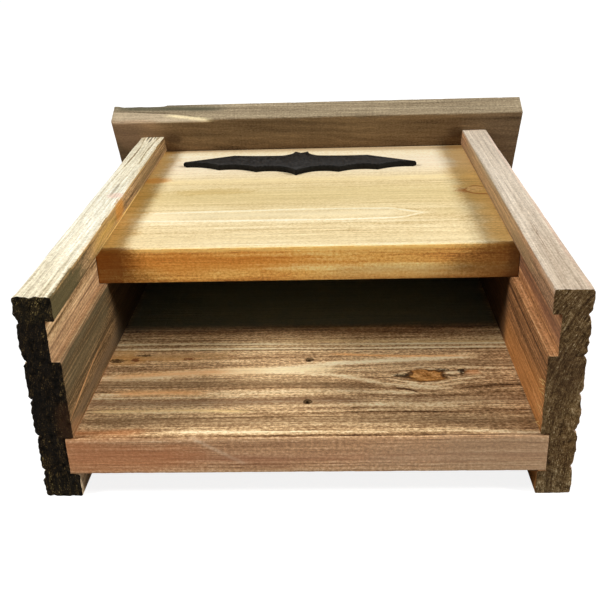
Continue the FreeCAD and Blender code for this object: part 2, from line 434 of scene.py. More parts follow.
        grain = 0.0
        for name, share in reliefShares.items():
            grain = layers[name] * share + grain
        grain = grain + layers["saw"] * look["sawn"] - late * look["ringRelief"]
        relief = grain * (1 - endFace) + endFace * (crumbs * 2.6 + strokes * 2.8)
        roughness = (0.72 + layers["fibre"] * 0.4 + endFace * 0.15).clamped()
        self.finish(colour, roughness, self.bump(relief, look["relief"]), look["shine"])
        return self.owner


# Random heights from 0 to 1 at points, smooth and the same on every run

primes = (73856093, 19349663, 83492791)      # they stir the numbers of a cell


def rough(points, size, seed, layers=1):
    total, weight = np.zeros(len(points)), 0.0
    for layer in range(layers):
        at = np.asarray(points) * (2 ** layer / size) + seed * 17.31 + layer * 5.7
        cell = np.floor(at).astype(np.int64)
        share = at - cell
        share = share * share * (3 - 2 * share)
        for corner in range(8):
            step = np.array([corner & 1, corner >> 1 & 1, corner >> 2 & 1])
            stirred = (cell + step) * primes
            code = stirred[:, 0] ^ stirred[:, 1] ^ stirred[:, 2] ^ (seed * 26544357)
            code = (code ^ (code >> 13)) * 1274126177 & 0x7FFFFFFF
            height = ((code ^ (code >> 16)) % 65536) / 65535
            total += np.prod(np.where(step, share, 1 - share), axis=1) * height * 0.5 ** layer
        weight += 0.5 ** layer
    return total / weight


# Values through every mark, with no step larger than asked
def steps(marks, largest):
    values = []
    for low, high in zip(marks, marks[1:]):
        count = max(1, math.ceil((high - low) / largest - 1e-6))
        values += [low + (high - low) * k / count for k in range(count)]
    return values + [marks[-1]]


# A board is a section (across, depth) swept along its grain. The section is a net of quads, so that the
# two ends are finely divided too; lengthAt gives how far the board runs at a point of the section.

def sweep(section, quads, stations, lengthAt):
    section = np.array(section)
    count = len(section)
    sides = {(quad[k], quad[(k + 1) % 4]) for quad in quads for k in range(4)}
    rim = sorted(side for side in sides if (side[1], side[0]) not in sides)
    rimPoints = np.array(sorted({point for side in rim for point in side}))
    order = {point: number for number, point in enumerate(rimPoints)}
    lengths = np.array([lengthAt(across, depth) for across, depth in section])
    last = len(stations) - 1

    def layer(indices, station):
        return np.column_stack([lengths[indices] * station / lengths.max(), section[indices]])

    everyPoint = np.arange(count)
    layers = [layer(everyPoint, stations[0]), layer(everyPoint, stations[-1])]
    layers += [layer(rimPoints, station) for station in stations[1:-1]]

    def index(point, station):
        if station in (0, last):
            return point + (count if station else 0)
        return 2 * count + (station - 1) * len(rimPoints) + order[point]

    faces = [tuple(quad) for quad in quads]
    faces += [tuple(count + point for point in reversed(quad)) for quad in quads]
    for station in range(last):
        for a, b in rim:
            corners = ((a, station), (a, station + 1), (b, station + 1), (b, station))
            faces.append(tuple(index(*corner) for corner in corners))
    return np.vstack(layers), faces


# A rectangular section with rounded corners, as a net; topAt slants its far side
def plankSection(width, thickness, radius, step, topAt=None):
    fine = [0, radius * 0.3, radius * 0.65, radius]
    acrossValues = steps(fine + [width - v for v in reversed(fine)], step)
    depthValues = steps(fine + [thickness - v for v in reversed(fine)], step * 0.7)
    section, quads = [], []
    for across in acrossValues:
        for depth in depthValues:
            inside = min(max(across, radius), width - radius), min(max(depth, radius), thickness - radius)
            near = Vector(inside)
            off = Vector((across, depth)) - near
            if off.length > radius:
                off *= radius / off.length
            at = near + off
            section.append((at.x * (topAt(at.y) / width if topAt else 1), at.y))
    rows = len(depthValues)
    for i in range(len(acrossValues) - 1):
        for j in range(rows - 1):
            quads.append((i * rows + j, (i + 1) * rows + j, (i + 1) * rows + j + 1, i * rows + j + 1))
    return section, quads


# The vectors that a mesh has under a key, one to a row
def readAll(items, key):
    found = np.zeros(len(items) * 3, np.float32)
    items.foreach_get(key, found)
    return found.reshape(-1, 3)


def hold(mesh, name, kind, domain, key, values):
    held = mesh.attributes.new(name, kind, domain)
    held.data.foreach_set(key, values.astype(np.float32).ravel())


def meshOf(name, body):
    mesh = bpy.data.meshes.new(name)
    body.to_mesh(mesh)
    body.free()
    return mesh


# Closes rings of points into a skin with two flat ends; gives the faces between the rings
def skin(body, rings):
    count = len(rings[0])
    between = []
    for below, above in zip(rings, rings[1:]):
        for k in range(count):
            after = (k + 1) % count
            between.append(body.faces.new((below[k], below[after], above[after], above[k])))
    body.faces.new(rings[-1])
    body.faces.new(list(reversed(rings[0])))
    return between


# Puts a board into the scene. axes are the world directions of along, across and depth; weather moves its
# points and says how hollow they are; zonesOf says what each face is.

def makeBoard(node, sweptMesh, place, weather, zonesOf, finish, cutters=()):
    points, faces = sweptMesh
    origin, axes = np.array(place["origin"]), np.array([list(axis) for axis in place["axes"]])
    mesh = bpy.data.meshes.new(node)
    mesh.from_pydata(points.tolist(), [], faces)
    body = bmesh.new()
    body.from_mesh(mesh)
    bmesh.ops.recalc_face_normals(body, faces=body.faces)
    body.to_mesh(mesh)
    body.free()
    moved, hollow = weather(points, readAll(mesh.vertex_normals, "vector").astype(float))
    mesh.vertices.foreach_set("co", (moved @ axes + origin).astype(np.float32).ravel())
    if np.linalg.det(axes) < 0:
        mesh.flip_normals()
    hold(mesh, "hollow", "FLOAT", "POINT", "value", hollow)
    mesh.update()
    board = addObject(node, mesh)
    for cutter in cutters:
        bore(board, cutter)
    mesh = board.data
    markGrain(mesh, origin, axes, zonesOf)
    mesh.shade_smooth()
    mesh.materials.clear()
    mesh.materials.append(finish[0])
    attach(board, "root")
    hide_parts(node)
    return board


# Cuts a ready cutter out of a board
def bore(board, cutter):
    cut = board.modifiers.new("bore", "BOOLEAN")
    cut.operation = "DIFFERENCE"
    cut.solver = "EXACT"
    cut.object = cutter
    bpy.context.view_layer.update()
    ready = bpy.data.meshes.new_from_object(board.evaluated_get(bpy.context.evaluated_depsgraph_get()))
    board.modifiers.clear()
    board.data = ready
    bpy.data.objects.remove(cutter)


def markGrain(mesh, origin, axes, zonesOf):
    hold(mesh, "grain", "FLOAT_VECTOR", "POINT", "vector", (readAll(mesh.vertices, "co") - origin) @ axes.T)
    centres = (readAll(mesh.polygons, "center") - origin) @ axes.T
    zones = zonesOf(centres, readAll(mesh.polygons, "normal") @ axes.T)
    hold(mesh, "zones", "FLOAT_VECTOR", "FACE", "vector", zones)


# The part of each normal that lies in the section
def flatten(normals):
    flat = normals.copy()
    flat[:, 0] = 0
    return flat / np.maximum(np.linalg.norm(flat, axis=1, keepdims=True), 0.3)


# Side boards: ribbed outside, two housings inside, the open end sawn rough

side = {
    "cornerRadius": 2.5 * mm, "innerEdge": 0.7 * mm,
    "firstGroove": 21.2 * mm, "groovePitch": 27.6 * mm, "grooves": 5,
    "grooveDepth": 2.2 * mm, "grooveHalf": 4.2 * mm, "ribCrown": 0.5 * mm,
    "housingDepth": 6 * mm, "housingPlay": 0.6 * mm,
    "step": 1.5 * mm, "outerColumns": 18, "innerColumns": 6,
    "endStations": (0, 0.5, 1.1, 1.8, 2.7, 4, 6, 9, 13), # millimetres from the open end
    "endReach": 2.0 * mm,                                # how far back the tearing of the sawn end goes
    "fringe": 1.5 * mm, "ribWear": 0.8 * mm, "lipWear": 0.7 * mm,
    "fringeReach": 5 * mm, "leanReach": 9 * mm, "hollowReach": 1.2 * mm,
    "ribWaves": 5 * mm, "lipWaves": 6 * mm, "lumps": 3.2 * mm, "tears": 2.6 * mm, "broadTears": 11 * mm,
}
panelSlots = [(lowerBox[0].z, lowerBox[1].z), (frontBox[0].z, frontBox[1].z)]
housings = [(low, high + side["housingPlay"]) for low, high in panelSlots]
grooveHeights = [side["firstGroove"] + number * side["groovePitch"] for number in range(side["grooves"])]


# How much a rounded hollow or corner takes off, at a distance from its edge
def rounded(off, radius):
    return radius - math.sqrt(radius ** 2 - (radius - off) ** 2) if off < radius else 0.0


def outerFace(height, thickness):
    half, crown = side["grooveHalf"], side["ribCrown"]
    shoulder = (side["grooveDepth"] ** 2 + half ** 2) / (2 * side["grooveDepth"])
    edges = [0.0] + [centre + way * half for centre in grooveHeights for way in (-1, 1)] + [sideDepth]
    cut = 0.0
    for low, high in zip(edges[::2], edges[1::2]):
        if low <= height <= high:
            share = (2 * height - low - high) / (high - low)
            cut = crown * share ** 2
    for centre in grooveHeights:
        off = abs(height - centre)
        if off < half:
            cut = crown + shoulder - math.sqrt(shoulder ** 2 - (half - off) ** 2)
    end = max(0.0, min(height, sideDepth - height))
    return thickness - max(cut, rounded(end, side["cornerRadius"]))


def sideSection(thickness):
    radius, half, edge = side["cornerRadius"], side["grooveHalf"], side["innerEdge"]
    starts = [0.0] + [high for low, high in housings]
    solids = list(zip(starts, [low for low, high in housings] + [sideDepth]))

    def inner(height, solid):
        return rounded(max(0.0, min(height - solid[0], solid[1] - height)), edge)

    cornerMarks = [share * radius for share in (0, 0.12, 0.4, 1.0)]
    marks = set(cornerMarks) | {sideDepth - mark for mark in cornerMarks}
    grooveMarks = (-1, -0.7, -0.35, 0, 0.35, 0.7, 1)
    marks |= {centre + half * share for centre in grooveHeights for share in grooveMarks}
    marks |= {low + share * edge for low, high in solids for share in (0, 0.3, 1)}
    marks |= {high - share * edge for low, high in solids for share in (0, 0.3, 1)}
    kept = []
    for mark in sorted(marks):
        exact = any(abs(mark - end) < 1e-9 for solid in solids for end in solid)
        if kept and mark - kept[-1] < 0.25 * mm:
            if exact:
                kept[-1] = mark
            continue
        kept.append(mark)
    heights = steps(kept, side["step"])
    section, quads, known = [], [], {}

    def point(height, depth):
        key = (round(height, 7), round(depth, 7))
        if key not in known:
            known[key] = len(section)
            section.append((height, depth))
        return known[key]

    def net(rows, low, high, columns):
        columnsOf = range(columns + 1)
        made = [[point(z, low(z) + (high(z) - low(z)) * k / columns) for k in columnsOf] for z in rows]
        for below, above in zip(made, made[1:]):
            for k in range(columns):
                quads.append((below[k], above[k], above[k + 1], below[k + 1]))

    net(heights, lambda z: side["housingDepth"], lambda z: outerFace(z, thickness), side["outerColumns"])
    for solid in solids:
        rows = [z for z in heights if solid[0] - 1e-7 <= z <= solid[1] + 1e-7]
        net(rows, lambda z: inner(z, solid), lambda z: side["housingDepth"], side["innerColumns"])
    return section, quads


def makeSide(node, box, outward, slot, look):
    thickness = box[1].x - box[0].x
    longest = box[1].y - box[0].y
    seed = look["meshSeed"]
    section, quads = sideSection(thickness)
    capFaces = len(quads)
    stations = steps([value * mm for value in side["endStations"]] + [longest], 2.6 * mm)
    swept = sweep(section, quads, stations, lambda height, depth: longest - height * math.tan(roofSlope))
    place = {
        "origin": (box[0].x if outward > 0 else box[1].x, openEnd, 0),
        "axes": ((0, 1, 0), (0, 0, 1), (outward, 0, 0)),
    }

    # which way and how far each point stands off the planed board; plus is outwards
    def shiftOf(points):
        along, across, depth = points.T
        outside = np.clip((depth - 0.6 * thickness) / (0.3 * thickness), 0, 1)
        lip = np.clip((across - sideDepth + 4 * mm) / (3 * mm), 0, 1)
        ribs = rough(points * (0.15, 1, 1), side["ribWaves"], seed + 3, 2) - 0.5
        ripples = rough(points * (0.12, 1, 1), side["lipWaves"], seed + 4, 2) - 0.55
        lumps = rough(points, side["lumps"], seed + 2, 3) - 0.52
        shift = outside * ribs * side["ribWear"] + lip * ripples * side["lipWear"]
        nearEnd = np.exp(-along / side["fringeReach"])
        shift += (0.25 + 0.75 * np.maximum(outside, lip * 0.5)) * lumps * side["fringe"] * 2 * nearEnd
        foot, top = look["lean"]
        lean = foot + (top - foot) * across / sideDepth
        shift += outside * lean * np.exp(-along / side["leanReach"])
        inHousing = (depth > 0.5 * side["housingDepth"]) & (depth < 1.1 * side["housingDepth"])
        return np.where(inHousing, 0.0, shift)

    def weather(points, normals):
        along, across, depth = points.T
        ringPlace = np.hypot(across - look["pith"][0], depth - look["pith"][1])
        ringWave = 0.5 + 0.5 * np.sin(ringPlace / look["ringWidth"] * 2 * math.pi)
        torn = rough(points, side["tears"], seed, 3) * 0.8 + ringWave * 0.1
        torn += rough(points, side["broadTears"], seed + 1) * 0.1
        torn = np.clip((torn - 0.3) / 0.5, 0, 1) ** 1.8
        moved = points + flatten(normals) * shiftOf(points)[:, None]
        moved[:, 1] = np.maximum(moved[:, 1], 0.0)
        push = look["endRough"] * torn * np.exp(-along / side["endReach"])
        moved[:, 0] += np.where(along < 0.5 * longest, push, 0.0)
        return moved, torn * np.exp(-along / side["hollowReach"])

    def zonesOf(centres, facing):
        along, across, depth = centres.T
        inner = facing[:, 2] < -0.5
        atTop = across > sideDepth - 3 * mm
        faces = {
            "outer": facing[:, 2] > 0.3,
            "top": (facing[:, 1] > 0.6) & atTop,
            "shoulder": (np.abs(facing[:, 1]) > 0.6) & (depth < side["housingDepth"]) & ~atTop,
            "inner": inner & (depth < 2 * mm),
            "lip": inner & (depth < 2 * mm) & (across > housings[1][1]),
            "groove": inner & (depth > 4 * mm),
            "foot": inner & (across < housings[0][0]),
        }
        zones = np.zeros((len(centres), 3))
        for name, mask in faces.items():
            zones[mask, 1:] = look["zones"].get(name, (0, 0))
        cutDeep = (depth > thickness - 2.8 * mm) & (facing[:, 2] > 0)
        for centre in grooveHeights:
            zones[cutDeep & (np.abs(across - centre) < 0.6 * side["grooveHalf"]), 1] -= 0.25
        zones[:2 * capFaces, 0] = 1
        return zones

    return makeBoard(node, swept, place, weather, zonesOf, (Timber(node + "_timber", look).dress(), slot))


# Faces that marks keep to: a side board's top, inner wall and housing floor, and a board's near edge
onTop = {"onDepth": True, "face": (147 * mm, 150 * mm)}
onWall = {"face": (0, 2 * mm)}
inGroove = {"face": (4 * mm, 8 * mm)}
nearEdge = {"onDepth": True, "face": (-1 * mm, 2 * mm)}

leftLook = {
    "meshSeed": 11, "seed": 3.1, "pith": (0.34, 0.22), "taper": 0.012,
    "lean": (0.7 * mm, 0.5 * mm), "endRough": 1.8 * mm, "wave": 4 * mm, "waveLength": 0.4,
    "ripple": 0.8 * mm, "ringWidth": 3.1 * mm,
    "strength": {"broad": 0.16, "medium": 0.24, "fine": 0.42, "fibre": 0.24, "saw": 0.05, "grit": 0.3,
                 "cloud": 0.08, "late": 0.05},
    "tones": palette((118, 98, 68), (194, 176, 138), (232, 218, 186), (248, 239, 211), (255, 253, 240)),
    "otherTones": palette((76, 56, 32), (136, 106, 70), (186, 151, 108), (218, 184, 138), (242, 216, 174)),
    "knotTones": palette((70, 44, 22), (140, 92, 46), (190, 140, 84), (222, 180, 126), (240, 206, 160)),
    # lip: the lip's inner face on the second palette, its darker tone painted shade
    "zones": {"top": (0.06, 0.0), "lip": (-0.2, 1.0), "groove": (-0.02, 1.0), "inner": (-0.36, 1.0),
              "shoulder": (0.04, 1.0), "outer": (-0.05, 0.5), "foot": (0.1, 0.7)},
    "marks": [
        mark(1.6, (0, 3), (200, 4), (380, 3), tone=0.12, **onTop),
        mark(1.5, (0, 16), (120, 14), (380, 17), tone=-0.1, patchy=5.0, **onTop),
        mark(0.9, (200, 11), (300, 9), (400, 12), tone=-0.14, patchy=5.0, **onTop),
        mark(0.8, (0, 148), (200, 148), (380, 148), tint=(226, 186, 118), share=0.5, patchy=5.0, **onWall),
        mark(4, (0, 100), (130, 100), tint=(88, 80, 58), share=0.7, soft=30, patchy=0.5, **onWall),
        mark(0.7, (120, 133.6), (280, 133.8), tint=(252, 216, 132), share=0.9, soft=20, patchy=1.0,
             ragged=0.4, frayed=0.6, **onWall),
        mark(6, (100, 140), (175, 140), tint=(214, 172, 92), share=0.75, soft=20, patchy=1.5, **onWall),
        mark(0.8, (110, 137), (150, 141), (190, 137), tone=-0.5, patchy=3.0, **onWall),
        mark(0.9, (180, 138), (190, 143), (200, 145), tint=(92, 54, 22), share=0.7, soft=6, patchy=2.0,
             **onWall),
        # the lip's top lighter from 60 mm on: painted light where the lamps fall off towards the roof
        mark(30, (60, 12), (240, 12), tone=0.16, soft=40, patchy=0.0, **onTop),
        mark(0.8, (300, 6), (350, 7), (400, 5), tone=-0.5, patchy=3.0, **onTop),
        mark(0.8, (290, 18), (340, 16.5), (400, 19), tone=-0.45, patchy=3.0, **onTop),
        mark(1.3, (0, 127), (200, 128), tone=0.3, **inGroove),
        mark(0.9, (0, 122), (200, 123), tone=-0.3, **inGroove),
        mark(1.4, (0, 117), (200, 117), tone=0.3, **inGroove),
        mark(0.8, (0, 112), (200, 113), tone=-0.26, **inGroove),
        mark(0.8, (0, 60.5), (36, 65.8), (75, 69.9), (90, 70), tint=(214, 160, 106), share=0.8, soft=30,
             patchy=2.0, **onWall),
        mark(0.9, (0, 47), (120, 47), tint=(206, 146, 86), share=0.7, **onWall),
        mark(1.5, (0, 72), (60, 74), (130, 70), tone=0.12, **onWall),
        mark(12, (0, 86), (60, 84), (120, 88), tint=(100, 90, 64), share=0.6, patchy=0.5, **onWall),
        mark(6, (0, 53), (80, 56), (160, 56), tint=(110, 90, 66), share=0.7, patchy=0.5, **onWall),
        # lighter still towards the roof: painted light
        mark(30, (150, 12), (415, 12), tone=0.12, soft=90, patchy=0.0, **onTop),
        # the wall deeper than 132 mm and below 112 mm darkened: painted shadow of the front panel
        mark(6, (132, 112), (440, 112), tint=(56, 46, 32), share=0.85, below=True, soft=14, patchy=0.0,
             **onWall),
    ],
    "stainsAndShades": [
        spot((190, 142, 0), (17, 9, 4), (206, 142, 62), 0.7, ragged=0.8, broken=1.2),
        spot((205, 149, 5), (9, 3, 7), (250, 218, 196), 0.8),
        spot((222, 149, 10), (18, 3, 2), (150, 134, 110), 0.5),
        # the lip's inner face dark olive near the open end: painted shade
        spot((20, 139, 0), (75, 13, 3), (86, 78, 50), 0.95, ragged=0.8),
        spot((300, 139, 0), (60, 9, 3), (150, 124, 84), 0.5),
        spot((392, 149, 12), (14, 3, 0.9), (52, 38, 24), 0.9),
        spot((398, 149, 15.5), (12, 3, 0.7), (60, 44, 28), 0.9),
        spot((400, 149, 8.5), (9, 3, 0.6), (80, 60, 40), 0.8),
        spot((0, 103, 4), (260, 1.2, 5), (212, 168, 126), 0.5),
        spot((60, 108, 6), (160, 9, 1), (204, 160, 122), 0.3),
        spot((0, 50, 0), (26, 8, 1), (168, 122, 80), 0.5),
    ],
    "end": {
        "tones": palette((4, 3, 1), (14, 9, 3), (28, 19, 7), (70, 53, 26), (178, 154, 98)),
        "crumbs": 1.3, "strokes": 1.3, "specks": 0.15, "hollow": 0.35, "bend": -8.0, "rings": 0.5,
        "stainsAndShades": [
            spot((0, 58, 2), (9, 16, 9), (72, 44, 22), 0.5),
            spot((0, 142, 13), (9, 14, 20), (214, 220, 222), 1.0, blend="DODGE"),
            spot((0, 8, 13), (9, 14, 18), (150, 166, 176), 1.0, blend="DODGE"),
        ],
    },
    "shade": 0.7, "sawn": 0.2, "ringRelief": 0.15, "relief": 0.4 * mm, "shine": 0.12,
}

rightLook = {
    "meshSeed": 23, "seed": 8.4, "pith": (0.34, -0.19), "taper": 0.008,
    "lean": (-1.1 * mm, 0.3 * mm), "endRough": 0.8 * mm, "wave": 3 * mm, "waveLength": 0.4,
    "ripple": 0.8 * mm, "ringWidth": 2.7 * mm,
    "strength": {"broad": 0.14, "medium": 0.16, "fine": 0.36, "fibre": 0.24, "saw": 0.05, "grit": 0.34,
                 "cloud": 0.08, "late": 0.04},
    "tones": palette((120, 98, 76), (184, 162, 138), (207, 189, 166), (222, 206, 184), (242, 230, 212)),
    "otherTones": palette((76, 48, 28), (128, 88, 54), (178, 127, 82), (216, 160, 108), (240, 198, 148)),
    "zones": {"top": (0.05, 0.0), "lip": (-0.1, 0.8), "groove": (-0.1, 1.0), "inner": (-0.22, 1.0),
              "shoulder": (0.12, 1.0), "outer": (-0.08, 0.45), "foot": (-0.5, 1.0)},
    "marks": [
        mark(1.2, (0, 22), (200, 22), (380, 22), tint=(238, 202, 178), share=0.6, patchy=0.8, **onTop),
        mark(1.0, (0, 9), (200, 10), (380, 9), tone=-0.18, patchy=4.0, **onTop),
        mark(0.6, (0, 97), (60, 97), (140, 97), tone=-0.35, **onWall),
        mark(12, (0, 84), (80, 72), (150, 68), tone=0.13, tint=(206, 134, 62), share=0.4, below=True,
             patchy=0.4, **onWall),
        mark(1.2, (0, 124), (260, 124), tone=0.26, **inGroove),
        mark(0.8, (0, 119), (260, 118), tone=-0.3, **inGroove),
        mark(0.9, (0, 112), (260, 112), tone=0.24, **inGroove),
        mark(1.0, (0, 61), (30, 62), tone=0.35, soft=6, **onWall),
        # the wall deeper than 128 mm and below 112 mm darkened: painted shadow of the front panel
        mark(6, (128, 112), (440, 112), tint=(48, 34, 22), share=0.85, below=True, soft=10, patchy=0.0,
             **onWall),
        mark(5, (0, 115), (120, 112), tint=(150, 92, 58), share=0.4, patchy=1.0, face=(4 * mm, 7 * mm)),
    ],
    "stainsAndShades": [
        spot((0, 149, 12), (90, 4, 30), (200, 180, 156), 0.5),
        spot((290, 149, 12), (190, 4, 30), (232, 218, 198), 0.35),
        spot((220, 141, 0), (190, 12, 2), (172, 150, 106), 0.45),
        spot((90, 121, 6), (300, 12, 1.5), (126, 90, 70), 0.55, ragged=0.6),
    ],
    "end": {
        "tones": palette((26, 17, 6), (76, 53, 27), (110, 84, 51), (154, 125, 83), (226, 204, 160)),
        "crumbs": 1.1, "strokes": 1.2, "specks": 0.35, "hollow": 0.2, "bend": 11.0, "rings": 0.7,
        "patches": 0.3,
        "stainsAndShades": [
            spot((0, 92, 12), (9, 20, 14), (84, 60, 38), 0.35),
            spot((0, 30, 21), (9, 42, 8), (110, 106, 96), 0.8, broken=2.5, blend="DODGE"),
            spot((0, 6, 12), (9, 18, 20), (102, 122, 142), 1.0, blend="DODGE"),
        ],
    },
    "shade": 0.6, "sawn": 0.2, "ringRelief": 0.15, "relief": 0.35 * mm, "shine": 0.12,
}

makeSide("left_side_board", leftBox, -1, "left_side_timber", leftLook)
makeSide("right_side_board", rightBox, 1, "right_side_timber", rightLook)


# Splinters torn up from a board's inner face, each a thin curved sliver that starts inside the wood
splinters = {
    "thick": 0.6 * mm, "long": (5 * mm, 10 * mm), "rise": 3.0 * mm, "rings": 6,
    "rooted": 0.3 * mm, "turn": 0.7, "curl": 1.6, "taper": 0.85, "flat": 1.6,
}


def makeSplinters(name, box, outward, spots, look):
    chance = np.random.default_rng(look["meshSeed"])
    wall = box[0].x if outward > 0 else box[1].x
    body = bmesh.new()
    for along, height in spots:
        length = chance.uniform(*splinters["long"])
        turn = chance.uniform(-splinters["turn"], splinters["turn"])
        rise = splinters["rise"] * chance.uniform(0.5, 1.0)
        rings = []
        for number in range(splinters["rings"] + 1):
            share = number / splinters["rings"]
            centre = Vector((
                wall + outward * (splinters["rooted"] - rise * share ** splinters["curl"]),
                openEnd + along + math.cos(turn) * length * share,
                height + math.sin(turn) * length * share,
            ))
            half = splinters["thick"] * (1 - splinters["taper"] * share) / 2
            corners = [(math.cos(corner * 2.1), math.sin(corner * 2.1)) for corner in range(3)]
            around = [centre + Vector((a * half, 0, b * half * splinters["flat"])) for a, b in corners]
            rings.append([body.verts.new(point) for point in around])
        skin(body, rings)
    bmesh.ops.recalc_face_normals(body, faces=body.faces)
    mesh = meshOf(name, body)
    mesh.materials.append(splinterFinish())
    piece = addObject(name, mesh)
    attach(piece, "root")


def splinterFinish():
    straw = Shader(bpy.data.materials.new("torn fibre"))
    along, across, depth = straw.parts(straw.node("TexCoord", output="Object"))
    grain = straw.noise(straw.vector(along * 900.0, across * 300.0, depth * 900.0), 2.0)
    colour = straw.mix((0.5 + grain * 2).clamped(), tint(176, 132, 70), tint(240, 204, 136))
    straw.finish(colour, (0.7 + grain * 0.3).clamped(), straw.bump(grain, 0.1 * mm), 0.15)
    return straw.owner


splinterSpots = onBoard(
    None, (0.5, 81), (1, 84), (2, 79), (4, 80.5), (6, 82), (1, 75), (3, 58), (1, 64), (6, 53), (2, 50),
)
makeSplinters("torn_fibres", rightBox, 1, splinterSpots, rightLook)
print("side boards made")


# Boards that lie across the box. Their own along, across and depth start at the corner in place.

plankWear = {"waves": 12 * mm, "chips": 6 * mm, "chipFrom": 0.55, "least": 0.05 * mm}


def makePlank(node, size, place, build, finish, cutters=()):
    length, width, thickness = size
    radius, look = build["radius"], build["look"]
    section, quads = plankSection(width, thickness, radius, build["step"], build.get("topAt"))
    ends = [0, radius * 0.5, radius * 1.5]
    stations = steps(ends + [length - reach for reach in reversed(ends)], build["step"])
    swept = sweep(section, quads, stations, lambda across, depth: length)
    seed = look["meshSeed"]

    def weather(points, normals):
        corner = (np.abs(normals).max(axis=1) < 0.95) * 1.0
        worn = rough(points * (0.2, 1, 1), plankWear["waves"], seed, 2)
        chips = np.clip(rough(points, plankWear["chips"], seed + 5, 2) - plankWear["chipFrom"], 0, 1) * 4
        amount = plankWear["least"] + build["wear"] * (worn * 0.5 + corner * (chips + worn * 0.5))
        moved = points - normals * amount[:, None]
        if "shape" in build:
            moved = build["shape"](moved)
        return moved, np.clip(corner * chips * 0.3, 0, 1)

    def zonesOf(centres, facing):
        along, across, depth = centres.T
        zones = np.zeros((len(centres), 3))
        slanted = np.abs(facing).max(axis=1) < 0.92
        faces = {
            "under": facing[:, 2] < -0.5, "near": facing[:, 1] < -0.6,
            "arris": slanted, "topArris": slanted & (facing[:, 2] > 0) & (across < 0.5 * width),
        }
        for name, mask in faces.items():
            if name in look["zones"]:
                zones[mask, 1:] = look["zones"][name]
        zones[:, 0] = (np.abs(facing[:, 0]) > 0.7) & ((along < 2 * mm) | (along > length - 2 * mm))
        for spot in build.get("bores", ()):
            inBore = np.hypot(along - spot[0], across - spot[1]) < spot[2] + 0.35 * mm
            zones[inBore & (np.abs(facing[:, 2]) < 0.7)] = (1, -0.2, 0)
        return zones

    return makeBoard(node, swept, place, weather, zonesOf, finish, cutters)


def boxSize(box):
    return tuple(box[1][k] - box[0][k] for k in range(3))


def levelPlace(box):
    return {"origin": (box[0].x, box[0].y, box[0].z), "axes": ((1, 0, 0), (0, 1, 0), (0, 0, 1))}


# Back, two boards edge to edge; the lower one has the two holes that it is hung by

holes = {
    "x": middle + 1 * mm, "along": (45 * mm, 106.5 * mm), "radius": 3.2 * mm, "sides": 40,
    "ragged": 0.25 * mm,
}


def makeHoleCutter(height):
    body = bmesh.new()
    deep = Matrix.Translation((holes["x"], openEnd + height, (lowerBox[0].z + lowerBox[1].z) / 2))
    bmesh.ops.create_cone(
        body, cap_ends=True, segments=holes["sides"], radius1=holes["radius"], radius2=holes["radius"],
        depth=2 * (lowerBox[1].z - lowerBox[0].z), matrix=deep,
    )
    for point in body.verts:
        turn = math.atan2(point.co.y - openEnd - height, point.co.x - holes["x"])
        push = holes["ragged"] * math.sin(3 * turn + height * 900)
        point.co.x += push * math.cos(turn)
        point.co.y += push * math.sin(turn) * 0.6
    return addObject("holeCutter", meshOf("holeCutter", body))


def onBack(half, *points, **rest):
    return mark(half, *points, box=lowerBox, **rest)


bark, amber, rust = (44, 28, 14), (204, 148, 78), (116, 62, 34)
# small stains about the knots: where, how wide and high in millimetres, colour, share, how broken up
backFlecks = [
    (-142, 110, 17, 8, amber, 0.55, 1.5), (-143, 122, 12, 5, (206, 160, 100), 0.6, 2.0),
    (-110, 110, 30, 4, amber, 0.3, 4.0), (-149, 108.5, 6, 3, bark, 0.85, 3.5),
    (-134, 109.5, 3, 3, rust, 0.85, 2.0), (-129, 116.5, 6, 1.8, bark, 0.8, 3.0),
    (-92.5, 110, 4.5, 1.8, rust, 0.85, 3.0), (-60, 114, 7, 1.3, rust, 0.6, 4.0),
    (-120, 107, 8, 1.0, rust, 0.5, 4.0), (71, 80.5, 8, 2.6, bark, 0.9, 2.0),
    (101, 88.5, 7, 2.2, bark, 0.85, 3.0), (114, 86, 4, 4, bark, 0.95, 2.0),
    (107, 84.5, 5, 2.2, (240, 212, 168), 0.8, 2.0), (105, 79.5, 8, 1.4, bark, 0.6, 3.0),
    (122, 84, 7, 4, (222, 150, 92), 0.6, 2.0), (87, 74, 16, 3, amber, 0.5, 2.0),
]
orange, golden, greyWood, purple = (255, 188, 116), (252, 216, 150), (142, 114, 80), (128, 94, 66)

